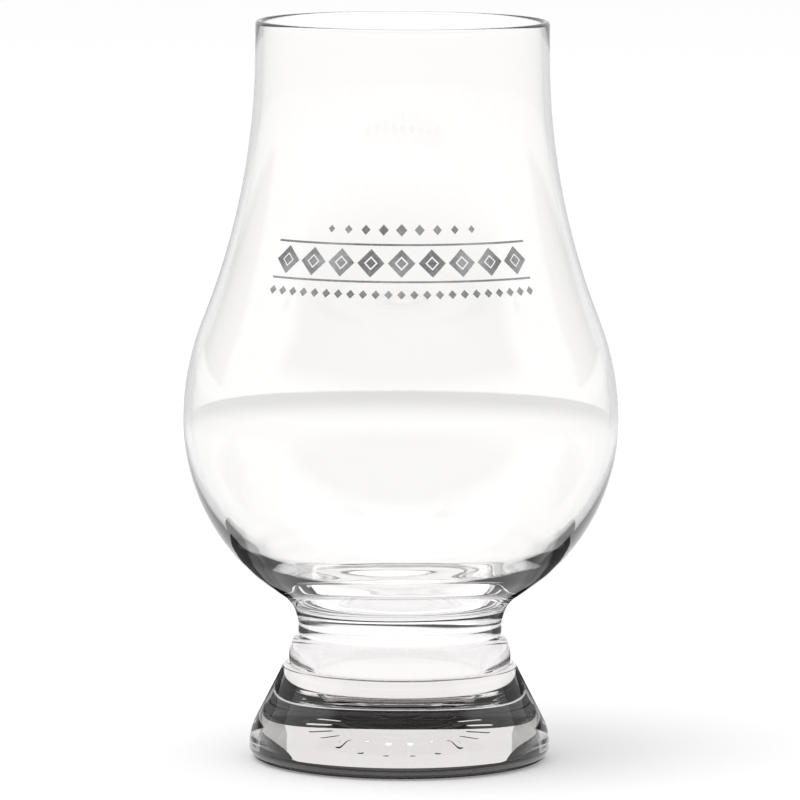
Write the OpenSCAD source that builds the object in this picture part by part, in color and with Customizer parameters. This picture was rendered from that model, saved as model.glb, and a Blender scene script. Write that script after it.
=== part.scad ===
// Whisky nosing glass: a tulip bowl without a stem, on a knop and a solid foot.
// Millimetres, +Z up. The origin is the middle of the ring that the glass stands on.
// The decoration faces -Y. Outlines are drawn as [distance from the axis, height].

/* [Overall] */
// Height from the table to the top of the lip
total_h = 115; // [108:1:124]

/* [Bowl] */
// Outer diameter of the lip and the throat
lip_d = 45.5; // [42:0.5:49]
// Length of the upright throat below the lip
throat_l = 5; // [2:0.5:10]
// Outer diameter of the belly at its widest
belly_d = 67.5; // [62:0.5:73]
// Height of the widest place above the table
belly_z = 53; // [50:0.5:57]
// Outside radius of the shoulder above the widest place
shoulder_r = 42; // [32:1:52]
// Radius of the hollow bend from the belly into the neck
neck_bend_r = 6; // [4:0.5:8]
// Length of the upright neck below that bend
neck_l = 1.2; // [0.6:0.1:2]
// Diameter of the waist, where the neck is fused to the knop
waist_d = 31.8; // [30:0.2:33]

/* [Walls] */
// Wall thickness at the lip and the throat
lip_wall = 1.1; // [0.8:0.1:1.6]
// Wall thickness at the belly
belly_wall = 1.2; // [0.9:0.1:1.8]
// Solid glass between the cavity's floor and the waist
heel_t = 6.2; // [5:0.1:9]
// Inside radius between the wall and the floor
heel_r = 16; // [12:0.5:20]
// Diameter of the flat middle of the cavity's floor
floor_d = 16; // [12:0.5:20]

/* [Knop] */
// How far the knop stands out past the waist
knop_out = 1.35; // [0.9:0.05:2]
// Height of the knop between its two creases
knop_h = 4.8; // [4:0.1:6]
// Radius of the knop's round side
knop_side_r = 5.5; // [4.5:0.1:6.5]

/* [Foot] */
// Height of the foot, from the table to the crease under the knop
foot_h = 14.8; // [13:0.2:17]
// How far the foot's top edge stands out past the knop
foot_step = 0.75; // [0.3:0.05:1.2]
// Radius of the soft edge round the foot's top
foot_shoulder_r = 0.8; // [0.4:0.1:1.2]
// Largest diameter of the foot
foot_d = 46.9; // [44:0.1:50]
// Radius of the round that turns the cone upright
foot_side_r = 8.5; // [6:0.5:10]
// Radius of the bottom edge
foot_edge_r = 2; // [1.2:0.1:2.6]
// Width of the flat ring that touches the table
contact_w = 1.9; // [1:0.1:3]
// Depth of the hollow underneath
punt_h = 1.8; // [1.2:0.1:3]

/* [Marks underneath] */
// Number of raised bars in the ring of marks
mark_count = 18; // [10:1:24]
// Diameter of that ring, through the middle of the bars
mark_ring_d = 17; // [14:0.5:24]
// Length of a bar, from the axis outward
mark_l = 2.4; // [1.6:0.1:4]
// Width of a bar
mark_w = 0.8; // [0.5:0.1:1.2]
// How far a bar stands out from the hollow
mark_h = 0.2; // [0.1:0.05:0.3]

/* [Decoration] */
// Thickness of the fired enamel
enamel_t = 0.1; // [0.06:0.01:0.14]
// Height of the middle of the wide row above the table
band_z = 79.9; // [77:0.1:83]
// Height of the wide row over its two rules
band_h = 5.8; // [5:0.1:7]
// Number of open lozenges in the wide row
lozenge_count = 9; // [5:2:11]
// Distance between lozenges, along the glass
lozenge_pitch = 4.9; // [4.5:0.1:5.5]
// Width of the enamel lines
line_w = 0.5; // [0.4:0.05:0.6]
// Width of the thin rules above and below the lozenges
rule_w = 0.3; // [0.2:0.05:0.4]
// Clear glass between the wide row and the rows above and below it
row_gap = 1.1; // [0.8:0.1:1.6]
// Number of small lozenges in the crest above
crest_count = 9; // [3:2:11]
// Height of the middle lozenge of the crest
crest_h = 1.9; // [1.5:0.1:2.4]
// Distance between lozenges in the crest
crest_pitch = 3; // [2.6:0.1:3.4]
// Number of dots in the row below
dot_count = 23; // [11:2:25]
// Diameter of a dot
dot_d = 1.3; // [1:0.05:1.6]
// Distance between dots
dot_pitch = 1.95; // [1.8:0.05:2.1]

/* [Hidden] */
$fn = 180;
facet = 360 / $fn;

// How far a cutting solid runs past what it cuts
over = 1;
glass = [0.86, 0.9, 0.91, 0.45];
enamel = [0.45, 0.45, 0.45];

lip_r = lip_d / 2;
belly_r = belly_d / 2;
waist_r = waist_d / 2;
knop_r = waist_r + knop_out;
foot_r = foot_d / 2;

waist_z = foot_h + knop_h;
neck_z = waist_z + neck_l;
floor_z = waist_z + heel_t;
throat_z = total_h - throat_l;

// Bend radii of an S between two upright walls add up to this
function s_radii(step, rise) = (step * step + rise * rise) / (2 * step);

// Where two circles touch. r2 is negative where circle 2 lies inside circle 1.
function touch(c1, r1, c2, r2) = c1 + (c2 - c1) * r1 / (r1 + r2);

function level_reach(r, drop) = sqrt(r * r - drop * drop);

// Slice of an outline between two heights and two distances from the axis
module slice(low, high, near, far)
    polygon([[near, low], [far, low], [far, high], [near, high]]);

// Slice that ends in an upright line
module upright(low, high, r)
    slice(low, high, 0, r);

// Slice that ends in a round standing out. The round's clip runs on below or above
// the slice where the round is level with the slice's own end.
module bulge(low, high, centre, r, below = 0, above = 0) {
    near = max(centre.x, 0);
    if (near > 0)
        upright(low, high, near);
    intersection() {
        slice(low - below, high + above, near, near + 2 * r);
        translate(centre)
            circle(r = r);
    }
}

// Slice that ends in a hollow round
module hollow(low, high, centre, r)
    difference() {
        upright(low, high, centre.x);
        translate(centre)
            circle(r = r);
    }

// From the widest place up to the throat: shoulder, long hollow sweep, upright throat
module upper_outline(throat_r, wide_r, round_r, top_z) {
    sweep_r = s_radii(wide_r - throat_r, throat_z - belly_z) - round_r;
    round_c = [wide_r - round_r, belly_z];
    sweep_c = [throat_r + sweep_r, throat_z];
    join = touch(round_c, round_r, sweep_c, sweep_r);
    bulge(belly_z, join.y, round_c, round_r);
    hollow(join.y, throat_z, sweep_c, sweep_r);
    upright(throat_z, top_z, throat_r);
}

// Radius of the round under the belly, and its centre
under_r = s_radii(belly_r - waist_r, belly_z - neck_z) - neck_bend_r;
under_c = [belly_r - under_r, belly_z];

// From the waist up to the widest place: upright neck, hollow bend, round belly
module lower_outline(grow = 0) {
    bend_r = neck_bend_r - grow;
    bend_c = [waist_r + neck_bend_r, neck_z];
    join = touch(under_c, under_r + grow, bend_c, bend_r);
    upright(waist_z, neck_z, waist_r + grow);
    hollow(neck_z, join.y, bend_c, bend_r);
    bulge(join.y, belly_z, under_c, under_r + grow);
}

// Outside of the bowl, made thicker all over by grow
module bowl_outside(grow = 0, top_z = total_h - lip_wall / 2) {
    lower_outline(grow);
    upper_outline(lip_r + grow, belly_r + grow, shoulder_r + grow, top_z);
}

// Inside of the bowl: flat floor, round heel, belly, sweep, and out at the mouth. The
// side's radius is the one that leaves the wall upright at the belly and runs into the heel.
module bowl_inside() {
    heel_c = [floor_d / 2, floor_z + heel_r];
    across = belly_r - belly_wall - heel_c.x;
    down = belly_z - floor_z;
    side_r = (across * across + down * down - 2 * down * heel_r) / (2 * (across - heel_r));
    side_c = [heel_c.x + across - side_r, belly_z];
    join = touch(side_c, side_r, heel_c, -heel_r);
    bulge(floor_z, join.y, heel_c, heel_r, below = heel_r);
    bulge(join.y, belly_z, side_c, side_r);
    upper_outline(lip_r - lip_wall, belly_r - belly_wall, shoulder_r - belly_wall, total_h + over);
}

module bowl()
    color(glass)
        rotate_extrude() {
            difference() {
                bowl_outside();
                bowl_inside();
            }
            translate([lip_r - lip_wall / 2, total_h - lip_wall / 2])
                circle(d = lip_wall);
        }

module knop() {
    side_x = knop_r - knop_side_r;
    side_z = waist_z - level_reach(knop_side_r, waist_r - side_x);
    color(glass)
        rotate_extrude()
            bulge(foot_h, waist_z, [side_x, side_z], knop_side_r);
}

// Outline of the foot: round bottom edge, round side, straight cone, soft top edge
module foot_outside() {
    top_r = knop_r + foot_step;
    edge_c = [foot_r - foot_edge_r, foot_edge_r];
    side_c = [foot_r - foot_side_r, foot_edge_r];
    // The cone is the tangent from the top corner to the round side
    to_top = [top_r, foot_h] - side_c;
    lean = atan2(to_top.y, to_top.x) - acos(foot_side_r / norm(to_top));
    out = [cos(lean), sin(lean)];
    side_end = side_c + foot_side_r * out;
    shoulder_z = foot_h - foot_shoulder_r;
    shoulder_x = top_r + foot_shoulder_r * (tan(lean) - 1 / cos(lean));
    shoulder_c = [shoulder_x, shoulder_z];
    cone_end = shoulder_c + foot_shoulder_r * out;
    bulge(0, foot_edge_r, edge_c, foot_edge_r, below = foot_edge_r);
    bulge(foot_edge_r, side_end.y, side_c, foot_side_r);
    polygon([[0, side_end.y], side_end, cone_end, [0, cone_end.y]]);
    bulge(cone_end.y, foot_h, shoulder_c, foot_shoulder_r, above = foot_shoulder_r);
}

punt_edge_r = foot_r - foot_edge_r - contact_w;
punt_round_r = s_radii(punt_h, punt_edge_r);

// Ball whose top is the hollow under the foot
module punt_ball(grow = 0)
    translate([0, 0, punt_h - punt_round_r])
        sphere(r = punt_round_r + grow, $fn = 360);

// Ring of raised bars that follow the hollow
module marks()
    intersection() {
        difference() {
            punt_ball(over);
            punt_ball(-mark_h);
        }
        for (i = [0 : mark_count - 1])
            rotate(i * 360 / mark_count)
                translate([(mark_ring_d - mark_l) / 2, -mark_w / 2, 0])
                    cube([mark_l, mark_w, punt_h + over / 2]);
    }

module foot()
    color(glass) {
        difference() {
            rotate_extrude()
                foot_outside();
            punt_ball();
        }
        marks();
    }

// Thin skin of enamel between two heights, over a stretch of the bowl's side that is
// measured from the middle of the front. It ends where facets of the bowl end.
module enamel_skin(low, high, along, length) {
    first = floor(turn_of(along - length / 2) / facet) * facet;
    last = ceil(turn_of(along + length / 2) / facet) * facet;
    rotate(first - 90)
        rotate_extrude(angle = last - first)
            intersection() {
                difference() {
                    bowl_outside(enamel_t);
                    bowl_outside();
                }
                slice(low, high, lip_r - lip_wall, belly_r + over);
            }
}

// One motif of enamel: the outline given, held against the bowl
module motif(along, z, w, h)
    intersection() {
        enamel_skin(z - h, z + h, along, w);
        rotate(turn_of(along) - 90)
            translate([0, 0, z])
                rotate([90, 0, 90])
                    linear_extrude(belly_r + over)
                        children();
    }

module lozenge(w, h)
    polygon([[-w / 2, 0], [0, -h / 2], [w / 2, 0], [0, h / 2]]);

// Angle at the axis for a length along the bowl's side at the decoration
print_r = (lip_r + belly_r) / 2;
function turn_of(length) = length / print_r * 180 / PI;

band_l = lozenge_pitch * lozenge_count;
band_low = band_z - band_h / 2;
band_high = band_z + band_h / 2;
lozenge_h = band_h - 2 * rule_w - 2 * line_w;
lozenge_w = lozenge_pitch - line_w;
seed_share = 0.36;

// Open lozenges, each with a small one inside, between two thin rules
module print_band()
    color(enamel) {
        half = (lozenge_count - 1) / 2;
        enamel_skin(band_low, band_low + rule_w, 0, band_l);
        enamel_skin(band_high - rule_w, band_high, 0, band_l);
        for (i = [-half : half])
            motif(i * lozenge_pitch, band_z, lozenge_pitch, lozenge_h) {
                difference() {
                    lozenge(lozenge_w, lozenge_h);
                    lozenge(lozenge_w - 3 * line_w, lozenge_h - 3 * line_w);
                }
                lozenge(lozenge_w * seed_share, lozenge_h * seed_share);
            }
    }

// Lozenges that shrink to the sides
module print_crest()
    color(enamel) {
        half = (crest_count - 1) / 2;
        for (i = [-half : half]) {
            share = 1 - abs(i) / (crest_count + 1);
            motif(i * crest_pitch, band_high + row_gap + crest_h / 2, crest_pitch, crest_h)
                lozenge(crest_h * share, crest_h * share);
        }
    }

// Row of small square dots, standing on their corners
module print_dots()
    color(enamel) {
        half = (dot_count - 1) / 2;
        for (i = [-half : half])
            motif(i * dot_pitch, band_low - row_gap - dot_d / 2, dot_pitch, dot_d)
                lozenge(dot_d, dot_d);
    }

bowl();
knop();
foot();
print_crest();
print_band();
print_dots();
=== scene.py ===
"""Whisky nosing glass with its fired enamel decoration, on a plain white table."""

import math
from bisect import bisect_left

import bmesh
import bpy
from bpy.props import FloatProperty, FloatVectorProperty, IntProperty, PointerProperty
from mathutils import Matrix, Vector


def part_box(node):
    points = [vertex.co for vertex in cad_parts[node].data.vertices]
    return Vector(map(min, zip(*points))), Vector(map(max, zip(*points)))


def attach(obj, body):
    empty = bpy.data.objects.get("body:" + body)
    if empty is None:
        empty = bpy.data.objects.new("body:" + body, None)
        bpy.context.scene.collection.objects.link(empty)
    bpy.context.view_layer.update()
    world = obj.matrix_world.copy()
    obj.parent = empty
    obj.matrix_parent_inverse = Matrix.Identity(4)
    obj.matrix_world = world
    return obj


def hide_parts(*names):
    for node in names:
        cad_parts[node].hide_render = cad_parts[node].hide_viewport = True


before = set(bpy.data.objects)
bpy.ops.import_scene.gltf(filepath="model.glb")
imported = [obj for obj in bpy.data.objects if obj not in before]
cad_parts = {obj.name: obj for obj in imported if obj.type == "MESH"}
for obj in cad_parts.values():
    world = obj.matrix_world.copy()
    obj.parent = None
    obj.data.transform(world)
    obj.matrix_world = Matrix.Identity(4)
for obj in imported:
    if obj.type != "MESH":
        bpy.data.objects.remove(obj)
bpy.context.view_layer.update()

bl_info = {
    "name": "Nosing Glass",
    "version": (1, 0, 0),
    "blender": (4, 5, 0),
    "location": "View3D > Sidebar > Nosing Glass",
    "description": "Builds a whisky nosing glass: bowl, knop, foot and enamel decoration",
    "category": "Add Mesh",
}

MM = 0.001

# Material slots of a turned piece, after slot 0 with its own glass. EDGE is the foot's bottom edge, where
# shade is painted
SEAM, EDGE = 1, 2

WHITE = (1, 1, 1, 1)

# Distance between the rings left by shaping the heel
RIPPLE_PITCH = 3.1 * MM

# Edges that bend more than this stay sharp
SOFT_BEND = math.radians(28)

# Gap between the enamel's back and the glass, in thicknesses of enamel
BACK_GAP = 0.08


def length(name, description, default):
    return FloatProperty(
        name=name, description=description, default=default, unit="LENGTH", precision=5
    )


def share(name, description, default):
    return FloatProperty(
        name=name, description=description, default=default, subtype="FACTOR", min=0, max=1
    )


def brightness(name, description, default):
    return FloatProperty(name=name, description=description, default=default, min=0)


def turn(name, description, default):
    return FloatProperty(
        name=name, description=description, default=default, subtype="ANGLE", unit="ROTATION"
    )


def colour(name, description, default):
    return FloatVectorProperty(
        name=name, description=description, default=default, subtype="COLOR", size=3, min=0, max=1
    )


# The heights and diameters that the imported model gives, to a tenth of a millimetre
BOWL_LOW, BOWL_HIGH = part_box("bowl")
KNOP_LOW, KNOP_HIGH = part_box("knop")
FOOT_LOW, FOOT_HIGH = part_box("foot")


def tenth(value):
    return round(value / MM, 1) * MM


class NosingGlassBowl(bpy.types.PropertyGroup):
    total_h: length("Total height", "From the table to the top of the lip", tenth(BOWL_HIGH.z))
    lip_d: length("Lip diameter", "Outside diameter of the lip and throat", 0.0455)
    throat_l: length("Throat length", "Length of the upright throat", 0.005)
    belly_d: length("Belly diameter", "Widest outside diameter", tenth(BOWL_HIGH.x - BOWL_LOW.x))
    belly_z: length("Belly height", "Height of the widest place", 0.053)
    shoulder_r: length("Shoulder radius", "Outside radius above the widest place", 0.042)
    neck_bend_r: length("Neck bend", "Radius of the hollow bend into the neck", 0.006)
    neck_l: length("Neck length", "Length of the upright neck", 0.0012)
    waist_d: length("Waist diameter", "Diameter where the bowl meets the knop", 0.0318)
    lip_wall: length("Lip wall", "Wall thickness at the lip", 0.0011)
    belly_wall: length("Belly wall", "Wall thickness at the belly", 0.0012)
    heel_t: length("Heel", "Solid glass under the cavity", 0.0062)
    heel_r: length("Heel radius", "Inside radius between wall and floor", 0.016)
    floor_d: length("Floor", "Diameter of the flat middle of the cavity's floor", 0.016)
    ripple: length("Ripple", "Height of the faint rings left by shaping the heel", 0.00004)
    sway: length("Sway", "How far the blown wall wanders from round", 0.00005)


class NosingGlassKnop(bpy.types.PropertyGroup):
    knop_d: length("Knop diameter", "Largest diameter of the knop", tenth(KNOP_HIGH.x - KNOP_LOW.x))
    knop_h: length("Knop height", "Between its two creases", tenth(KNOP_HIGH.z - KNOP_LOW.z))
    knop_side_r: length("Side radius", "Radius of its round side", 0.0055)


class NosingGlassFoot(bpy.types.PropertyGroup):
    foot_h: length("Foot height", "From the table to the crease", tenth(FOOT_HIGH.z))
    foot_step: length("Step", "How far its top stands out past the knop", 0.00075)
    foot_shoulder_r: length("Top edge", "Radius of the soft top edge", 0.0008)
    foot_d: length("Foot diameter", "Largest diameter", tenth(FOOT_HIGH.x - FOOT_LOW.x))
    foot_side_r: length("Side radius", "Radius that turns the cone upright", 0.0085)
    foot_edge_r: length("Bottom edge", "Radius of the bottom edge", 0.002)
    contact_w: length("Contact ring", "Width of the flat ring on the table", 0.0019)
    punt_h: length("Punt", "Depth of the hollow underneath", 0.0018)
    mark_count: IntProperty(name="Marks", description="Raised bars underneath", default=18, min=4)
    mark_ring_d: length("Ring of marks", "Diameter through the middle of the bars", 0.017)
    mark_l: length("Mark length", "Length of a bar", 0.0024)
    mark_w: length("Mark width", "Width of a bar", 0.0008)
    mark_h: length("Mark height", "How far a bar stands out", 0.00005)
    mark_soft: length("Mark edge", "Half width of a bar's soft edge", 0.0003)


class NosingGlassDecoration(bpy.types.PropertyGroup):
    enamel_t: length("Enamel", "Thickness of the fired enamel", 0.0001)
    band_z: length("Band height", "Height of the middle of the wide row", 0.0799)
    band_h: length("Band width", "Height of the wide row over its rules", 0.0058)
    lozenge_count: IntProperty(name="Lozenges", description="Open lozenges in the wide row", default=9)
    lozenge_pitch: length("Lozenge pitch", "Distance between lozenges", 0.0049)
    line_w: length("Line", "Width of the enamel lines", 0.0005)
    rule_w: length("Rule", "Width of the thin rules", 0.0003)
    row_gap: length("Row gap", "Clear glass between rows", 0.0011)
    crest_count: IntProperty(name="Crest", description="Small lozenges in the crest", default=9)
    crest_h: length("Crest height", "Height of the middle lozenge", 0.0019)
    crest_pitch: length("Crest pitch", "Distance between lozenges in the crest", 0.003)
    dot_count: IntProperty(name="Dots", description="Dots in the row below", default=23)
    dot_d: length("Dot", "Size of a dot", 0.0013)
    dot_pitch: length("Dot pitch", "Distance between dots", 0.00195)


class NosingGlassFinish(bpy.types.PropertyGroup):
    blown_tint: colour("Blown crystal", "Colour of the bowl and knop", (0.99, 0.985, 0.982))
    pressed_tint: colour("Pressed crystal", "Colour of the foot", (0.892, 0.86, 0.857))
    # Painted shade: a near black foot's edge stands in for the shadow where the foot meets the table
    painted_edge_shade: colour("Foot's edge", "Colour of the foot's shaded bottom edge", (0.004, 0.0035, 0.0035))
    enamel_dark: colour("Enamel", "Grey of the enamel where it is thick", (0.13, 0.13, 0.13))
    enamel_light: colour("Thin enamel", "Grey of the enamel where it is thin", (0.33, 0.33, 0.33))
    glass_ior: FloatProperty(name="Refraction", description="Index of refraction", default=1.53)


class NosingGlassStage(bpy.types.PropertyGroup):
    floor_colour: colour("Floor", "Colour of the table", (0.8, 0.8, 0.8))
    floor_r: length("Floor radius", "Radius of the table", 6.0)
    floor_glow: share("Floor glow", "Light that the table adds of its own, to be white", 0.2)
    sheet_level: brightness("Sheet", "Brightness of table and room seen through glass", 1.05)
    sheet_top: turn("Sheet top", "Height at which the white sheet behind ends, seen through glass", 0.25)
    over_level: share("Over the sheet", "Brightness over the top of the sheet, seen through glass", 0.05)
    # Painted shade on the table seen through glass: a soft grey band at its far edge
    far_edge_r: length("Far edge", "Where the table's soft grey far edge lies, through glass", 0.506)
    far_fade_l: length("Far fade", "Depth of its soft shade", 0.1)
    far_shade: share("Far shade", "How much darker that edge is", 0.3)
    # Painted shadow: a dark ring on the table under the foot, seen through glass and in reflections
    contact_r: length("Contact", "Where the dark ring under the foot begins", 0.0193)
    contact_w: length("Contact width", "Width of that ring, and of its shade in reflections", 0.0019)
    contact_level: share("Contact shade", "Brightness of the table there", 0.05)
    table_level: brightness("Table", "Brightness of the table in reflections", 1.0)
    far_level: share("Far table", "Brightness of the far table in reflections", 0.8)
    far_r: length("Far table's start", "Distance at which the table is as dim as that", 0.6)
    # Painted shade: greyer patches on the table beside the glass, seen in reflections
    side_r: length("Patch start", "Where the table begins to be greyer on both sides, in reflections", 0.045)
    side_shade_level: share("Patches", "Brightness of those patches, which end at the cards", 0.5)
    strip_r: length("Strip distance", "From the glass to the low dark strip behind it", 0.05)
    strip_h: length("Strip height", "Height of that strip", 0.0125)
    strip_level: share("Strip", "Brightness of the strip in reflections", 0.02)
    card_r: length("Card distance", "From the glass to the low dark cards beside the strip", 0.05)
    card_h: length("Card height", "Height of the cards", 0.018)
    card_level: share("Cards", "Brightness of the cards in reflections", 0.12)
    card_foot_h: length("Card foot height", "Height of the paler foot of the cards", 0.008)
    card_foot_level: share("Card foot", "Brightness of that foot", 0.5)
    card_turn: turn("Card start", "Where cards and screens begin, round from the middle behind", 0.63)
    card_end: turn("Card end", "Where they end", 1.2)
    screen_r: length("Screen distance", "From the glass to the high grey screens behind it", 2.0)
    screen_z: length("Screen foot", "Height at which the screens begin", 0.2)
    screen_h: length("Screen height", "Height of the screens", 0.58)
    screen_level: share("Screens", "Brightness of the screens in reflections", 0.5)
    room_level: brightness("Room", "Brightness of the room in reflections", 0.93)
    ceiling_level: brightness("Ceiling", "Brightness of the ceiling in reflections", 1.5)
    ceiling_turn: turn("Ceiling height", "Where the ceiling begins, seen from the glass", 0.74)
    front_level: share("Dark front", "Brightness of the upper room in front, in reflections", 0.05)
    front_turn: turn("Dark front's start", "How far up and forward that dark front begins", 0.3)
    soft_turn: turn("Soft edge", "Softness of the edges of sheet, ceiling, front and patches", 0.05)
    world_level: brightness("World", "Plain light all round", 0.95)
    lamp_power: FloatProperty(name="Lamp", description="Soft lamp overhead", default=6.0, unit="POWER")
    lamp_d: length("Lamp size", "Diameter of the lamp", 1.2)
    lamp_place: FloatVectorProperty(
        name="Lamp place",
        description="Where the lamp hangs",
        default=(-0.5, -0.35, 1.3),
        subtype="TRANSLATION",
    )
    camera_distance: length("Camera distance", "From the axis of the glass", 1.15)
    camera_z: length("Camera height", "Height of the lens", 0.1895)
    camera_roll: turn("Camera roll", "Turn of the camera about its own axis", math.radians(0.265))
    camera_shift: FloatProperty(name="Shift", description="Sideways shift of the picture", default=-0.0012)
    target_z: length("Target height", "Height on the axis at the middle of the picture", 0.056)
    lens: FloatProperty(name="Lens", description="Focal length", default=335.55, unit="CAMERA")


GROUPS = {
    "nosing_glass_bowl": NosingGlassBowl,
    "nosing_glass_knop": NosingGlassKnop,
    "nosing_glass_foot": NosingGlassFoot,
    "nosing_glass_decoration": NosingGlassDecoration,
    "nosing_glass_finish": NosingGlassFinish,
    "nosing_glass_stage": NosingGlassStage,
}


# Outlines: lists of (distance from the axis, height)


def arc(centre, radius, start, end, step=1.5):
    """Points on an arc. start, end and step are in degrees."""
    count = max(2, math.ceil(abs(end - start) / step))
    turns = [math.radians(start + (end - start) * i / count) for i in range(count + 1)]
    return [(centre[0] + radius * math.cos(a), centre[1] + radius * math.sin(a)) for a in turns]


def bearing(centre, point):
    """Direction from the centre to the point, in degrees."""
    return math.degrees(math.atan2(point[1] - centre[1], point[0] - centre[0]))


def touch(c1, r1, c2, r2):
    """Where two circles touch. r2 is negative where circle 2 lies inside circle 1."""
    k = r1 / (r1 + r2)
    return (c1[0] + (c2[0] - c1[0]) * k, c1[1] + (c2[1] - c1[1]) * k)


def s_radii(step, rise):
    """Bend radii of an S between two upright walls add up to this."""
    return (step * step + rise * rise) / (2 * step)


def stations(*outlines):
    """The outlines one after the other, without points that repeat."""
    made = []
    for outline in outlines:
        for point in outline:
            if not made or math.dist(made[-1], point) > 1e-7:
                made.append(point)
    return made


def upper_side(bowl, throat_r, wide_r, round_r):
    """From the throat down to the widest place."""
    throat_z = bowl.total_h - bowl.throat_l
    sweep_r = s_radii(wide_r - throat_r, throat_z - bowl.belly_z) - round_r
    round_c = (wide_r - round_r, bowl.belly_z)
    sweep_c = (throat_r + sweep_r, throat_z)
    join = touch(round_c, round_r, sweep_c, sweep_r)
    return stations(
        [(throat_r, bowl.total_h - bowl.lip_wall / 2)],
        arc(sweep_c, sweep_r, 180, bearing(sweep_c, join) % 360, step=0.5),
        arc(round_c, round_r, bearing(round_c, join), 0),
    )


def waist_z(sizes):
    """Height of the crease between bowl and knop."""
    return sizes.nosing_glass_foot.foot_h + sizes.nosing_glass_knop.knop_h


def under_round(sizes):
    """Radius and centre of the round under the belly."""
    bowl = sizes.nosing_glass_bowl
    belly_r, waist_r = bowl.belly_d / 2, bowl.waist_d / 2
    neck_z = waist_z(sizes) + bowl.neck_l
    radius = s_radii(belly_r - waist_r, bowl.belly_z - neck_z) - bowl.neck_bend_r
    return radius, (belly_r - radius, bowl.belly_z)


def bowl_outside(sizes):
    """From the lip down to the waist."""
    bowl = sizes.nosing_glass_bowl
    waist_r = bowl.waist_d / 2
    neck_z = waist_z(sizes) + bowl.neck_l
    under_r, under_c = under_round(sizes)
    bend_c = (waist_r + bowl.neck_bend_r, neck_z)
    join = touch(under_c, under_r, bend_c, bowl.neck_bend_r)
    return stations(
        upper_side(bowl, bowl.lip_d / 2, bowl.belly_d / 2, bowl.shoulder_r),
        arc(under_c, under_r, 0, bearing(under_c, join), step=0.7),
        arc(bend_c, bowl.neck_bend_r, bearing(bend_c, join), 180, step=3),
        [(waist_r, waist_z(sizes))],
    )


def bowl_inside(sizes):
    """From the lip down to the middle of the floor."""
    bowl = sizes.nosing_glass_bowl
    floor_z = waist_z(sizes) + bowl.heel_t
    heel_c = (bowl.floor_d / 2, floor_z + bowl.heel_r)
    across = bowl.belly_d / 2 - bowl.belly_wall - heel_c[0]
    down = bowl.belly_z - floor_z
    side_r = (across**2 + down**2 - 2 * down * bowl.heel_r) / (2 * (across - bowl.heel_r))
    side_c = (heel_c[0] + across - side_r, bowl.belly_z)
    join = touch(side_c, side_r, heel_c, -bowl.heel_r)
    floor = [(heel_c[0] * (1 - i / 12), floor_z) for i in range(1, 13)]
    return stations(
        upper_side(
            bowl,
            bowl.lip_d / 2 - bowl.lip_wall,
            bowl.belly_d / 2 - bowl.belly_wall,
            bowl.shoulder_r - bowl.belly_wall,
        ),
        arc(side_c, side_r, 0, bearing(side_c, join), step=0.7),
        arc(heel_c, bowl.heel_r, bearing(heel_c, join), -90, step=2),
        floor,
    )


def knop_side(sizes):
    """From the waist down to the foot."""
    knop = sizes.nosing_glass_knop
    waist_r = sizes.nosing_glass_bowl.waist_d / 2
    top_z, low_z = waist_z(sizes), sizes.nosing_glass_foot.foot_h
    side_r = knop.knop_side_r
    side_x = knop.knop_d / 2 - side_r
    side_z = top_z - math.sqrt(side_r**2 - (waist_r - side_x) ** 2)
    low_r = side_x + math.sqrt(side_r**2 - (low_z - side_z) ** 2)
    centre = (side_x, side_z)
    start, end = bearing(centre, (waist_r, top_z)), bearing(centre, (low_r, low_z))
    return arc(centre, side_r, start, end, step=2)


def foot_side(sizes):
    """From the top edge down to the flat ring."""
    foot = sizes.nosing_glass_foot
    top_r = sizes.nosing_glass_knop.knop_d / 2 + foot.foot_step
    foot_r, edge_r = foot.foot_d / 2, foot.foot_edge_r
    side_c = (foot_r - foot.foot_side_r, edge_r)
    edge_c = (foot_r - edge_r, edge_r)
    across, up = top_r - side_c[0], foot.foot_h - edge_r
    lean = math.atan2(up, across) - math.acos(foot.foot_side_r / math.hypot(across, up))
    soft = foot.foot_shoulder_r
    soft_c = (top_r + soft * (math.tan(lean) - 1 / math.cos(lean)), foot.foot_h - soft)
    lean = math.degrees(lean)
    return stations(
        arc(soft_c, soft, 90, lean, step=6),
        arc(side_c, foot.foot_side_r, lean, 0, step=1.2),
        arc(edge_c, edge_r, 0, -90, step=5),
    )


def punt(sizes):
    """From the flat ring up to the middle of the hollow."""
    foot = sizes.nosing_glass_foot
    rim_r = foot.foot_d / 2 - foot.foot_edge_r - foot.contact_w
    radius = s_radii(foot.punt_h, rim_r)
    centre = (0, foot.punt_h - radius)
    mid, half = foot.mark_ring_d / 2, foot.mark_l / 2
    step, margin = 0.2 * MM, 0.4 * MM
    fine = [mid - half - margin + i * step for i in range(int(2 * (half + margin) / step) + 1)]
    coarse = [rim_r * i / 24 for i in range(25)]
    reach = sorted(set(round(r, 6) for r in fine + coarse if 0 <= r < rim_r), reverse=True)
    dome = [(r, centre[1] + math.sqrt(radius**2 - r * r)) for r in reach]
    return stations([(rim_r, 0.0)], dome)


def radius_at(outline, z):
    """Distance from the axis at a height, on an outline that runs downward."""
    heights = [-p[1] for p in outline]
    i = min(max(bisect_left(heights, -z), 1), len(outline) - 1)
    (r0, z0), (r1, z1) = outline[i - 1], outline[i]
    return r0 + (r1 - r0) * (z0 - z) / (z0 - z1)


# Meshes


def link(name, mesh):
    piece = bpy.data.objects.new(name, mesh)
    bpy.context.scene.collection.objects.link(piece)
    return piece


def new_mesh(name, points, faces):
    mesh = bpy.data.meshes.new(name)
    mesh.from_pydata(points, [], faces)
    return mesh


def face_out(mesh, bend=math.pi):
    """Turn all faces outward, and keep the edges sharp that bend more than this."""
    edit = bmesh.new()
    edit.from_mesh(mesh)
    bmesh.ops.recalc_face_normals(edit, faces=edit.faces)
    for edge in edit.edges:
        if len(edge.link_faces) == 2 and edge.calc_face_angle(0) > bend:
            edge.smooth = False
    edit.to_mesh(mesh)
    edit.free()


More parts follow.
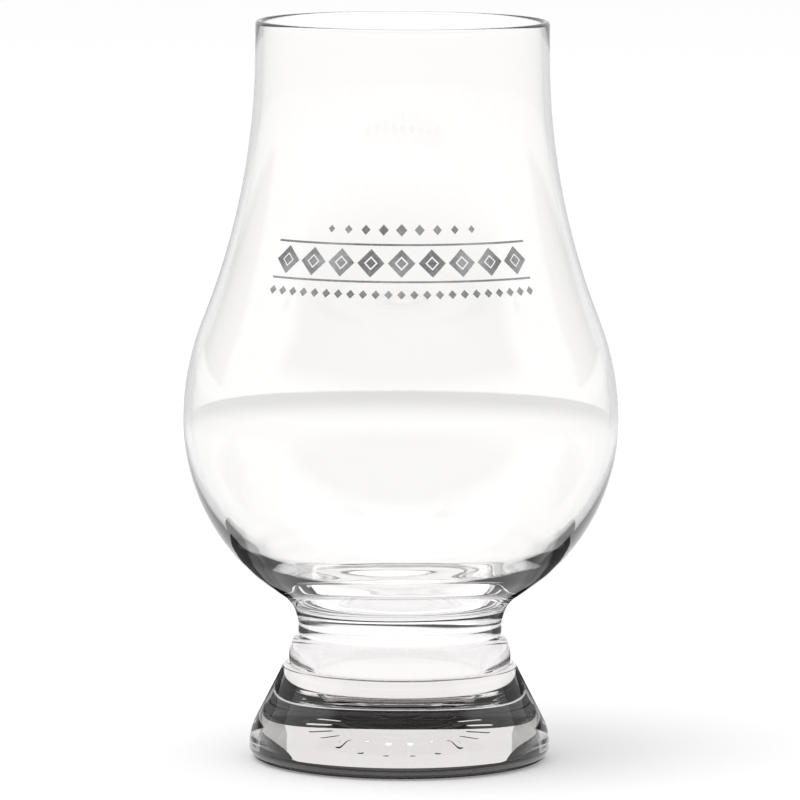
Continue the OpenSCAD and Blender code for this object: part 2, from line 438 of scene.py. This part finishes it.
def turned(name, outline, slots, shift=None, segments=288):
    """Solid of revolution. outline runs from axis to axis, and slots gives the material
    slot of each stretch of it. shift(angle, r, z) moves a point away from round."""
    points, rings = [], []
    for r, z in outline:
        if r < 1e-7:
            rings.append([len(points)])
            points.append((0.0, 0.0, z))
            continue
        rings.append(range(len(points), len(points) + segments))
        for i in range(segments):
            angle = math.tau * i / segments
            dr, dz = shift(angle, r, z) if shift else (0.0, 0.0)
            points.append(((r + dr) * math.cos(angle), (r + dr) * math.sin(angle), z + dz))
    faces, kinds = [], []
    for upper, lower, kind in zip(rings, rings[1:], slots):
        for i in range(segments):
            k = (i + 1) % segments
            if len(upper) == 1:
                faces.append((upper[0], lower[i], lower[k]))
            elif len(lower) == 1:
                faces.append((upper[i], lower[0], upper[k]))
            else:
                faces.append((upper[i], lower[i], lower[k], upper[k]))
            kinds.append(kind)
    mesh = new_mesh(name, points, faces)
    mesh.polygons.foreach_set("material_index", kinds)
    mesh.shade_smooth()
    face_out(mesh, SOFT_BEND)
    return link(name, mesh)


def smooth_step(low, high, x):
    t = min(max((x - low) / (high - low), 0), 1)
    return t * t * (3 - 2 * t)


def lozenge_edge(w, h, cuts):
    """Points round a lozenge, with each side cut into equal lengths."""
    corners = [(-w / 2, 0), (0, -h / 2), (w / 2, 0), (0, h / 2)]
    for (x0, y0), (x1, y1) in zip(corners, corners[1:] + corners[:1]):
        for i in range(cuts):
            yield x0 + (x1 - x0) * i / cuts, y0 + (y1 - y0) * i / cuts


def open_lozenge(w, h, line, cuts=5):
    """Flat ring between two lozenges: points and faces."""
    slant = math.hypot(1 / w, 1 / h) * line
    rings = (1, 1 - slant, 1 - 2 * slant)
    points = [(x * k, y * k) for x, y in lozenge_edge(w, h, cuts) for k in rings]
    faces = []
    for i in range(4 * cuts):
        a, b = 3 * i, 3 * ((i + 1) % (4 * cuts))
        for j in range(2):
            faces.append((a + j, b + j, b + j + 1, a + j + 1))
    return points, faces


def full_lozenge(w, h, cuts=2, rings=2):
    """Flat lozenge: points and faces."""
    points, faces = [(0.0, 0.0)], []
    total = 4 * cuts
    for ring in range(1, rings + 1):
        k = ring / rings
        points += [(x * k, y * k) for x, y in lozenge_edge(w, h, cuts)]
    for i in range(total):
        k = (i + 1) % total
        faces.append((0, 1 + i, 1 + k))
        for ring in range(rings - 1):
            a, b = 1 + ring * total, 1 + (ring + 1) * total
            faces.append((a + i, b + i, b + k, a + k))
    return points, faces


def ladder(steps):
    """Faces of a strip whose points lie in pairs."""
    return [(2 * i, 2 * i + 2, 2 * i + 3, 2 * i + 1) for i in range(steps)]


def flat_strip(w, h, cuts):
    """Flat strip: points and faces."""
    points = [(-w / 2 + w * i / cuts, side * h / 2) for i in range(cuts + 1) for side in (-1, 1)]
    return points, ladder(cuts)


def upright(name, radius, low, height, turns, steps=24):
    """Upright card bent round the glass. turns is (start, end), from straight behind."""
    start, end = turns
    points = []
    for i in range(steps + 1):
        angle = start + (end - start) * i / steps
        for z in (low, low + height):
            points.append((radius * math.sin(angle), radius * math.cos(angle), z))
    return link(name, new_mesh(name, points, ladder(steps)))


def fired(name, motifs, sizes):
    """Enamel on the bowl's side. motifs lists (flat points and faces, along, height)."""
    outside = bowl_outside(sizes)
    bowl, decoration = sizes.nosing_glass_bowl, sizes.nosing_glass_decoration
    print_r = (bowl.lip_d + bowl.belly_d) / 4
    points, faces = [], []
    for (flat, flat_faces), along, height in motifs:
        start, count = len(points), len(flat)
        for proud in (decoration.enamel_t, BACK_GAP * decoration.enamel_t):
            for x, y in flat:
                angle = (along + x) / print_r
                r = radius_at(outside, height + y) + proud
                points.append((r * math.sin(angle), -r * math.cos(angle), height + y))
        sides = {}
        for face in flat_faces:
            faces.append(tuple(start + i for i in face))
            faces.append(tuple(start + count + i for i in reversed(face)))
            sides.update(dict.fromkeys(zip(face, face[1:] + face[:1])))
        for a, b in sides:
            if (b, a) not in sides:
                faces.append((start + b, start + a, start + count + a, start + count + b))
    mesh = new_mesh(name, points, faces)
    face_out(mesh)
    return link(name, mesh)


# Materials


class Nodes:
    """Short hand for adding nodes to a tree and wiring them."""

    def __init__(self, tree):
        self.tree = tree

    def add(self, kind, **settings):
        node = self.tree.nodes.new(kind)
        node.location = (200 * len(self.tree.nodes), 0)
        for key, value in settings.items():
            setattr(node, key, value)
        return node

    def wire(self, sockets, values):
        """Link each socket to its value, or set it where that is a plain number or colour."""
        for socket, value in zip(sockets, values):
            if isinstance(value, bpy.types.NodeSocket):
                self.tree.links.new(value, socket)
            else:
                socket.default_value = value

    def feed(self, node, **values):
        self.wire([node.inputs[key.replace("_", " ")] for key in values], values.values())
        return node

    def math(self, operation, a, b=0.0):
        node = self.add("ShaderNodeMath", operation=operation)
        self.wire(node.inputs, (a, b))
        return node.outputs[0]

    def times(self, a, b):
        return self.math("MULTIPLY", a, b)

    def ramp(self, value, low, high, out_low=0.0, out_high=1.0):
        node = self.add("ShaderNodeMapRange", interpolation_type="SMOOTHSTEP")
        self.feed(node, Value=value, From_Min=low, From_Max=high, To_Min=out_low, To_Max=out_high)
        return node.outputs[0]

    def sine_ramp(self, value, angle, soft, out_low=0.0, out_high=1.0):
        """Ramp round an angle, on a value that is a sine."""
        return self.ramp(value, math.sin(angle - soft), math.sin(angle + soft), out_low, out_high)

    def level(self, factor, a, b):
        """Number between a and b."""
        node = self.add("ShaderNodeMix", data_type="FLOAT")
        self.wire((node.inputs[0], node.inputs[2], node.inputs[3]), (factor, a, b))
        return node.outputs[0]

    def blend(self, factor, a, b):
        """Colour between a and b."""
        node = self.add("ShaderNodeMix", data_type="RGBA")
        self.wire((node.inputs[0], node.inputs[6], node.inputs[7]), (factor, a, b))
        return node.outputs[2]

    def noise(self, vector, scale, detail=2.0, rough=0.5):
        node = self.add("ShaderNodeTexNoise")
        self.feed(node, Vector=vector, Scale=scale, Detail=detail, Roughness=rough)
        return node.outputs[0]

    def stretched(self, vector, along):
        node = self.add("ShaderNodeMapping", vector_type="POINT")
        self.feed(node, Vector=vector, Scale=along)
        return node.outputs[0]

    def bump(self, height, distance, strength):
        node = self.add("ShaderNodeBump")
        self.feed(node, Height=height, Distance=distance, Strength=strength)
        return node.outputs[0]

    def place(self, kind="Object"):
        return self.add("ShaderNodeTexCoord").outputs[kind]

    def parts(self, vector):
        return self.feed(self.add("ShaderNodeSeparateXYZ"), Vector=vector).outputs

    def emission(self, strength):
        node = self.add("ShaderNodeEmission")
        return self.feed(node, Color=WHITE, Strength=strength).outputs[0]

    def cover(self, factor, a, b):
        """Shader between the shaders a and b."""
        node = self.add("ShaderNodeMixShader")
        self.wire(node.inputs, (factor, a, b))
        return node.outputs[0]

    def show(self, shader, kind="ShaderNodeOutputMaterial"):
        self.feed(self.add(kind), Surface=shader)


def group_tree(name, inputs, output):
    """New node group: its nodes, and what it is given."""
    tree = bpy.data.node_groups.new(name, "ShaderNodeTree")
    for label, default in inputs:
        socket = tree.interface.new_socket(label, in_out="INPUT", socket_type="NodeSocketFloat")
        socket.default_value = default
    tree.interface.new_socket(output, in_out="OUTPUT", socket_type="NodeSocketFloat")
    nodes = Nodes(tree)
    return nodes, nodes.add("NodeGroupInput").outputs


def group_output(nodes, value):
    nodes.wire(nodes.add("NodeGroupOutput").inputs, (value,))
    return nodes.tree


def melt_waves():
    """Faint waves that a fire polished surface keeps, as a height."""
    name = "Melt waves"
    if name in bpy.data.node_groups:
        return bpy.data.node_groups[name]
    nodes, given = group_tree(name, [("Scale", 90.0), ("Grain", 0.1)], "Height")
    place = nodes.place()
    waves = nodes.noise(nodes.stretched(place, (1.0, 1.0, 0.35)), given["Scale"], 1.0, 0.4)
    grain = nodes.noise(place, nodes.times(given["Scale"], 14.0), 2.0)
    return group_output(nodes, nodes.math("ADD", waves, nodes.times(grain, given["Grain"])))


def handling_haze():
    """Patches where fingers and cloths have left a trace, as a mask."""
    name = "Handling haze"
    if name in bpy.data.node_groups:
        return bpy.data.node_groups[name]
    nodes, given = group_tree(name, [("Scale", 60.0), ("Amount", 0.5)], "Mask")
    place = nodes.place()
    patches = nodes.ramp(nodes.noise(place, given["Scale"], 3.0), 0.45, 0.75)
    streaks = nodes.noise(nodes.stretched(place, (6.0, 6.0, 1.0)), given["Scale"], 2.0)
    return group_output(nodes, nodes.times(nodes.times(patches, streaks), given["Amount"]))


def blank(owner):
    """Empty node tree for a material or a world."""
    owner.use_nodes = True
    owner.node_tree.nodes.clear()
    return Nodes(owner.node_tree)


def new_material(name):
    material = bpy.data.materials.new(name)
    nodes = blank(material)
    shader = nodes.add("ShaderNodeBsdfPrincipled")
    nodes.show(shader.outputs[0])
    return material, nodes, shader


def placed(nodes, tree, **values):
    node = nodes.add("ShaderNodeGroup", node_tree=tree)
    return nodes.feed(node, **values).outputs[0]


# Scale, grain and depth of the waves in each glass, and how far it has been handled
BLOWN = {"waves": (70.0, 0.02, 0.000012), "haze": 0.5}
PRESSED = {"waves": (110.0, 0.05, 0.00001), "haze": 0.7}

# Scale of the haze on glass, how much it dulls the colour, and how rough it makes the surface
HAZE_SCALE, HAZE_DULL, HAZE_ROUGH = 70.0, 0.97, 0.012


def crystal(name, tint, ior, waves, haze, shade=None):
    """Clear crystal with faint surface waves and a trace of handling. A shade is painted shade, a
    near black colour that darkens the light coming in through it and leaves what is seen from inside."""
    if name in bpy.data.materials:
        return bpy.data.materials[name]
    material, nodes, shader = new_material(name)
    scale, grain, depth = waves
    height = placed(nodes, melt_waves(), Scale=scale, Grain=grain)
    mask = placed(nodes, handling_haze(), Scale=HAZE_SCALE, Amount=haze)
    haze_and_painted_shade = nodes.blend(mask, (*tint, 1), (*[c * HAZE_DULL for c in tint], 1))
    # Painted shade: a near black colour on the outward faces, seen from outside only
    if shade:
        inside = nodes.add("ShaderNodeNewGeometry").outputs["Backfacing"]
        haze_and_painted_shade = nodes.blend(inside, (*shade, 1), haze_and_painted_shade)
    nodes.feed(
        shader,
        Base_Color=haze_and_painted_shade,
        Metallic=0.0,
        Roughness=nodes.times(mask, HAZE_ROUGH),
        IOR=ior,
        Transmission_Weight=1.0,
        Normal=nodes.bump(height, depth, 1.0),
    )
    return material


def fused_seam():
    """Where two pieces are fused: nothing shows, and light isn't bent."""
    name = "Fused seam"
    if name in bpy.data.materials:
        return bpy.data.materials[name]
    material, nodes, shader = new_material(name)
    nodes.feed(shader, Base_Color=WHITE, Roughness=0.0, IOR=1.0, Alpha=0.0)
    return material


def fired_enamel(dark, light):
    """Satin grey enamel, mottled, thinner in patches, with a fine tooth."""
    name = "Fired enamel"
    if name in bpy.data.materials:
        return bpy.data.materials[name]
    material, nodes, shader = new_material(name)
    place = nodes.place()
    patches = nodes.ramp(nodes.noise(place, 110.0, 2.0), 0.38, 0.66)
    specks = nodes.ramp(nodes.noise(place, 2600.0, 1.0), 0.35, 0.7, 0.0, 0.35)
    thin = nodes.math("ADD", nodes.times(patches, 0.75), specks)
    haze = placed(nodes, handling_haze(), Scale=180.0, Amount=0.6)
    grey = nodes.blend(thin, (*dark, 1), (*light, 1))
    grey = nodes.blend(haze, grey, (0.5, 0.5, 0.5, 1))
    tooth = placed(nodes, melt_waves(), Scale=700.0, Grain=0.6)
    nodes.feed(
        shader,
        Base_Color=grey,
        Roughness=nodes.ramp(specks, 0.0, 0.35, 0.38, 0.55),
        Normal=nodes.bump(tooth, 0.00002, 0.7),
    )
    return material


def reflected(nodes):
    """1 on light that a surface has turned back, 0 on light seen straight through."""
    path = nodes.add("ShaderNodeLightPath").outputs
    return nodes.math("GREATER_THAN", path["Glossy Depth"], 0.5), path


def table_straight(nodes, reach, stage):
    """The table seen straight through glass: a white sheet with a painted grey shade along its far edge."""
    edge = stage.far_edge_r
    fade = nodes.ramp(reach, edge - stage.far_fade_l, edge)
    cut = nodes.ramp(reach, edge, edge * 1.015, 1.0, 0.0)
    shade = nodes.times(nodes.times(fade, cut), stage.far_shade)
    return nodes.math("SUBTRACT", stage.sheet_level, shade)


def table_turned_back(nodes, place, reach, stage):
    """The table in reflections: dimmer far away, with painted shade in grey patches near the glass on both
    sides.
    """
    far = nodes.ramp(reach, stage.far_r / 2, stage.far_r, stage.table_level, stage.far_level)
    across = nodes.math("DIVIDE", nodes.math("ABSOLUTE", nodes.parts(place)["X"]), reach)
    aside = nodes.sine_ramp(across, stage.card_turn, stage.soft_turn)
    inside = nodes.ramp(reach, 0.9 * stage.side_r, 1.1 * stage.side_r)
    outside = nodes.ramp(reach, 0.9 * stage.card_r, 1.1 * stage.card_r, 1.0, 0.0)
    # Painted shade on both sides of the glass
    patch = nodes.times(aside, nodes.times(inside, outside))
    return nodes.times(far, nodes.level(patch, 1.0, stage.side_shade_level))


def painted_contact_shadow(nodes, reach, turned_back, stage):
    """1 on the painted shadow ring where the foot touches, which lies one width further out in reflections.
    """
    start = nodes.level(turned_back, stage.contact_r, stage.contact_r + stage.contact_w)
    past = nodes.math("DIVIDE", nodes.math("SUBTRACT", reach, start), stage.contact_w)
    return nodes.times(nodes.ramp(past, -0.1, 0.1), nodes.ramp(past, 0.9, 1.1, 1.0, 0.0))


def white_table(stage):
    """Matt white table that keeps the glass's shadow. Through glass and in reflections it glows white, with
    painted shade: a far edge, side patches and a shadow ring under the foot.
    """
    material = bpy.data.materials.new("White table")
    nodes = blank(material)
    turned_back, path = reflected(nodes)
    place = nodes.place()
    tooth = nodes.bump(nodes.noise(place, 900.0, 3.0), 0.00005, 0.3)
    paper = nodes.add("ShaderNodeBsdfDiffuse")
    nodes.feed(paper, Color=(*stage.floor_colour, 1), Normal=tooth)
    lit = nodes.add("ShaderNodeAddShader")
    nodes.wire(lit.inputs, (paper.outputs[0], nodes.emission(stage.floor_glow)))
    away = nodes.add("ShaderNodeVectorMath", operation="LENGTH")
    nodes.wire(away.inputs, (place,))
    reach = away.outputs["Value"]
    straight = table_straight(nodes, reach, stage)
    back = table_turned_back(nodes, place, reach, stage)
    ring = painted_contact_shadow(nodes, reach, turned_back, stage)
    # The painted shadow ring under the foot darkens the glow
    strength = nodes.times(
        nodes.level(turned_back, straight, back), nodes.level(ring, 1.0, stage.contact_level)
    )
    glassy = nodes.math("MAXIMUM", path["Is Transmission Ray"], path["Is Glossy Ray"])
    nodes.show(nodes.cover(glassy, lit.outputs[0], nodes.emission(strength)))
    return material


def dark_card(name, level, foot_level=None, foot_h=0.0):
    """Card that shows only in what a surface turns back, and throws no shadow.

    With a foot_level its lowest foot_h metres have that brightness."""
    material = bpy.data.materials.new(name)
    nodes = blank(material)
    turned_back, _ = reflected(nodes)
    if foot_level is not None:
        height = nodes.parts(nodes.add("ShaderNodeNewGeometry").outputs["Position"])["Z"]
        level = nodes.ramp(height, 0.8 * foot_h, 1.2 * foot_h, foot_level, level)
    clear = nodes.add("ShaderNodeBsdfTransparent").outputs[0]
    nodes.show(nodes.cover(turned_back, clear, nodes.emission(level)))
    return material


def plain_room(stage):
    """White all round. Seen through glass it is a white sheet with a dark top. In reflections
    it is an even room with a bright ceiling, dark above and in front of the glass."""
    world = bpy.data.worlds.new("Plain room")
    nodes = blank(world)
    turned_back, path = reflected(nodes)
    parts = nodes.parts(nodes.place("Generated"))
    ahead, rise = parts["Y"], parts["Z"]
    soft = stage.soft_turn
    high = nodes.sine_ramp(rise, stage.ceiling_turn, 2 * soft)
    back = nodes.level(high, stage.room_level, stage.ceiling_level)
    front = nodes.sine_ramp(ahead, -stage.front_turn, 2 * soft, 1.0, 0.0)
    over = nodes.sine_ramp(rise, stage.front_turn, 2 * soft)
    back = nodes.level(nodes.times(front, over), back, stage.front_level)
    sheet = nodes.sine_ramp(rise, stage.sheet_top, soft, stage.sheet_level, stage.over_level)
    clear = nodes.math("MAXIMUM", path["Is Camera Ray"], path["Is Transmission Ray"])
    straight = nodes.level(clear, stage.world_level, sheet)
    strength = nodes.level(turned_back, straight, back)
    background = nodes.feed(nodes.add("ShaderNodeBackground"), Color=WHITE, Strength=strength)
    nodes.show(background.outputs[0], "ShaderNodeOutputWorld")
    return world


# Operators


def dressed(piece, node, slot, *materials):
    """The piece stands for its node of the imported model."""
    for material in materials:
        piece.data.materials.append(material)
    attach(piece, "root")
    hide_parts(node)
    return piece


def blown_crystal(scene):
    finish = scene.nosing_glass_finish
    return crystal("Blown crystal", finish.blown_tint, finish.glass_ior, **BLOWN)


class NOSINGGLASS_OT_bowl(bpy.types.Operator):
    """Blow the bowl: throat, lip, shoulder, belly, thick heel and neck"""

    bl_idname = "nosing_glass.bowl"
    bl_label = "Bowl"

    def execute(self, context):
        scene = context.scene
        bowl = scene.nosing_glass_bowl
        inside = bowl_inside(scene)
        outside = bowl_outside(scene)
        lip_c = (bowl.lip_d / 2 - bowl.lip_wall / 2, bowl.total_h - bowl.lip_wall / 2)
        lip = arc(lip_c, bowl.lip_wall / 2, 180, 0, 10)
        outline = stations(inside[::-1], lip, outside)
        slots = [0] * (len(outline) - 1) + [SEAM]
        outline.append((0.0, waist_z(scene)))
        low_z, floor_z = waist_z(scene), waist_z(scene) + bowl.heel_t

        def shift(angle, r, z):
            """Rings left by shaping the heel, and a wall that wanders a little from round."""
            heel = smooth_step(low_z, low_z + 3 * MM, z)
            heel *= 1 - smooth_step(floor_z + 4 * MM, floor_z + 12 * MM, z)
            rings = bowl.ripple * math.sin(math.tau * z / RIPPLE_PITCH + 0.6 * math.sin(angle * 2))
            body = smooth_step(low_z, low_z + 12 * MM, z)
            body *= 1 - smooth_step(bowl.total_h - 20 * MM, bowl.total_h, z)
            oval = bowl.sway * (math.sin(2 * angle + 0.9) + 0.5 * math.sin(3 * angle + 55 * z))
            keep = min(r / (6 * MM), 1)
            return (rings * heel + oval * body) * keep, 0.0

        piece = turned("bowl", outline, slots, shift)
        dressed(piece, "bowl", "blown_crystal", blown_crystal(scene), fused_seam())
        return {"FINISHED"}


class NOSINGGLASS_OT_knop(bpy.types.Operator):
    """Add the solid round knop under the neck"""

    bl_idname = "nosing_glass.knop"
    bl_label = "Knop"

    def execute(self, context):
        scene = context.scene
        side = knop_side(scene)
        outline = stations([(0.0, waist_z(scene))], side, [(0.0, side[-1][1])])
        slots = [SEAM] + [0] * (len(outline) - 3) + [SEAM]
        piece = turned("knop", outline, slots)
        dressed(piece, "knop", "blown_crystal", blown_crystal(scene), fused_seam())
        return {"FINISHED"}


class NOSINGGLASS_OT_foot(bpy.types.Operator):
    """Press the solid foot with its flat ring, its punt and the ring of marks in it"""

    bl_idname = "nosing_glass.foot"
    bl_label = "Foot"

    def execute(self, context):
        scene = context.scene
        foot, finish = scene.nosing_glass_foot, scene.nosing_glass_finish
        seam_r = knop_side(scene)[-1][0]
        top = [(0.0, foot.foot_h), (seam_r, foot.foot_h)]
        outline = stations(top, foot_side(scene), punt(scene))
        slots = [SEAM] + [0] * (len(outline) - 2)
        flat_r = foot.foot_d / 2 - foot.foot_edge_r
        rim_r = flat_r - foot.contact_w
        # The bottom edge round gets the material with painted shade
        for i, (upper, lower) in enumerate(zip(outline, outline[1:])):
            if upper[1] <= foot.foot_edge_r + 1e-6 and lower[0] >= flat_r - 1e-6:
                slots[i] = EDGE
        pitch = math.tau / foot.mark_count
        soft = foot.mark_soft

        def shift(angle, r, z):
            """The bars of the marks stand out from the punt."""
            if z > foot.punt_h + MM / 2 or r > rim_r - soft:
                return 0.0, 0.0
            across = abs((angle + pitch / 2) % pitch - pitch / 2) * r
            along = abs(r - foot.mark_ring_d / 2)
            bar = 1 - smooth_step(foot.mark_w / 2 - soft, foot.mark_w / 2 + soft, across)
            bar *= 1 - smooth_step(foot.mark_l / 2 - soft, foot.mark_l / 2 + soft, along)
            return 0.0, -foot.mark_h * bar

        piece = turned("foot", outline, slots, shift)
        tint, ior = finish.pressed_tint, finish.glass_ior
        glass = crystal("Pressed crystal", tint, ior, **PRESSED)
        # Painted shade on the foot's bottom edge, for the shadow where it meets the table
        edge = crystal("Crystal edge", tint, ior, shade=finish.painted_edge_shade, **PRESSED)
        dressed(piece, "foot", "pressed_crystal", glass, fused_seam(), edge)
        return {"FINISHED"}


def row_places(count):
    """Places of the motifs in a row, counted from the middle one."""
    half = (count - 1) // 2
    return range(-half, half + 1)


class NOSINGGLASS_OT_decoration(bpy.types.Operator):
    """Fire the three rows of enamel decoration on to the bowl"""

    bl_idname = "nosing_glass.decoration"
    bl_label = "Decoration"

    def execute(self, context):
        scene = context.scene
        made, finish = scene.nosing_glass_decoration, scene.nosing_glass_finish
        enamel = fired_enamel(finish.enamel_dark, finish.enamel_light)
        low, high = made.band_z - made.band_h / 2, made.band_z + made.band_h / 2
        tall = made.band_h - 2 * made.rule_w - 2 * made.line_w
        wide = made.lozenge_pitch - made.line_w
        ring = open_lozenge(wide, tall, 1.5 * made.line_w)
        core = full_lozenge(wide * 0.36, tall * 0.36)
        rule = flat_strip(made.lozenge_pitch * made.lozenge_count, made.rule_w, 90)
        band = [(rule, 0, low + made.rule_w / 2), (rule, 0, high - made.rule_w / 2)]
        for i in row_places(made.lozenge_count):
            band.append((ring, i * made.lozenge_pitch, made.band_z))
            band.append((core, i * made.lozenge_pitch, made.band_z))
        crest = []
        crest_z = high + made.row_gap + made.crest_h / 2
        for i in row_places(made.crest_count):
            size = made.crest_h * (1 - abs(i) / (made.crest_count + 1))
            crest.append((full_lozenge(size, size, 3, 3), i * made.crest_pitch, crest_z))
        dot = full_lozenge(made.dot_d, made.dot_d)
        dot_z = low - made.row_gap - made.dot_d / 2
        dots = [(dot, i * made.dot_pitch, dot_z) for i in row_places(made.dot_count)]
        for name, motifs in (("print_band", band), ("print_crest", crest), ("print_dots", dots)):
            dressed(fired(name, motifs, scene), name, "fired_enamel", enamel)
        return {"FINISHED"}


def set_table(stage):
    edit = bmesh.new()
    bmesh.ops.create_circle(edit, cap_ends=True, segments=96, radius=stage.floor_r)
    mesh = bpy.data.meshes.new("table")
    edit.to_mesh(mesh)
    edit.free()
    table = link("table", mesh)
    table.location.z = -0.1 * MM
    table.data.materials.append(white_table(stage))


def set_cards(stage):
    """What stands in a studio behind a glass, to give it dark edges."""
    middle = (-stage.card_turn, stage.card_turn)
    strip = upright("dark_strip", stage.strip_r, 0.0, stage.strip_h, middle)
    strip.data.materials.append(dark_card("Dark strip", stage.strip_level))
    black = dark_card("Dark card", stage.card_level, stage.card_foot_level, stage.card_foot_h)
    grey = dark_card("Grey screen", stage.screen_level)
    for side in (-1, 1):
        aside = (side * stage.card_turn, side * stage.card_end)
        card = upright("dark_card", stage.card_r, 0.0, stage.card_h, aside)
        screen = upright("dark_screen", stage.screen_r, stage.screen_z, stage.screen_h, aside)
        for piece, shade in ((card, black), (screen, grey)):
            piece.data.materials.append(shade)


def set_lamp(stage):
    """Soft lamp that lights the table and doesn't show in the glass."""
    light = bpy.data.lights.new("soft_lamp", "AREA")
    light.shape = "DISK"
    light.size = stage.lamp_d
    light.energy = stage.lamp_power
    lamp = bpy.data.objects.new("soft_lamp", light)
    lamp.location = stage.lamp_place
    lamp.rotation_euler = (-Vector(stage.lamp_place)).to_track_quat("-Z", "Y").to_euler()
    lamp.visible_glossy = False
    lamp.visible_transmission = False
    bpy.context.scene.collection.objects.link(lamp)


def set_camera(stage):
    """Camera in front of the glass, that looks at a point on its axis."""
    lens = bpy.data.cameras.new("camera")
    lens.sensor_width = 36.0
    lens.lens = stage.lens
    lens.clip_end = 50.0
    lens.shift_x = stage.camera_shift
    camera = bpy.data.objects.new("camera", lens)
    eye = Vector((0.0, -stage.camera_distance, stage.camera_z))
    aim = Vector((0.0, 0.0, stage.target_z)) - eye
    look = aim.to_track_quat("-Z", "Y").to_matrix().to_4x4()
    camera.matrix_world = Matrix.Translation(eye) @ look @ Matrix.Rotation(stage.camera_roll, 4, "Z")
    bpy.context.scene.collection.objects.link(camera)
    bpy.context.scene.camera = camera


class NOSINGGLASS_OT_stage(bpy.types.Operator):
    """Set the white table, the plain room, the soft lamp and the camera"""

    bl_idname = "nosing_glass.stage"
    bl_label = "Stage"

    def execute(self, context):
        scene = context.scene
        stage = scene.nosing_glass_stage
        set_table(stage)
        set_cards(stage)
        scene.world = plain_room(stage)
        set_lamp(stage)
        set_camera(stage)
        scene.view_settings.view_transform = "Standard"
        return {"FINISHED"}


class NOSINGGLASS_PT_sidebar(bpy.types.Panel):
    bl_label = "Nosing Glass"
    bl_idname = "NOSINGGLASS_PT_sidebar"
    bl_space_type = "VIEW_3D"
    bl_region_type = "UI"
    bl_category = "Nosing Glass"

    def draw(self, context):
        for operator in OPERATORS:
            self.layout.operator(operator.bl_idname)
        for key, group in GROUPS.items():
            box = self.layout.box()
            box.label(text=key.replace("nosing_glass_", "").capitalize())
            for name in group.__annotations__:
                box.prop(getattr(context.scene, key), name)


OPERATORS = (
    NOSINGGLASS_OT_bowl,
    NOSINGGLASS_OT_knop,
    NOSINGGLASS_OT_foot,
    NOSINGGLASS_OT_decoration,
    NOSINGGLASS_OT_stage,
)


def register():
    for group in GROUPS.values():
        bpy.utils.register_class(group)
    for cls in (*OPERATORS, NOSINGGLASS_PT_sidebar):
        bpy.utils.register_class(cls)
    for key, group in GROUPS.items():
        setattr(bpy.types.Scene, key, PointerProperty(type=group))


def unregister():
    for key in GROUPS:
        delattr(bpy.types.Scene, key)
    for cls in (NOSINGGLASS_PT_sidebar, *reversed(OPERATORS)):
        bpy.utils.unregister_class(cls)
    for group in reversed(list(GROUPS.values())):
        bpy.utils.unregister_class(group)


def main():
    register()
    bpy.ops.nosing_glass.bowl()
    bpy.ops.nosing_glass.knop()
    bpy.ops.nosing_glass.foot()
    bpy.ops.nosing_glass.decoration()
    bpy.ops.nosing_glass.stage()
    bpy.context.view_layer.update()


if __name__ == "__main__":
    main()
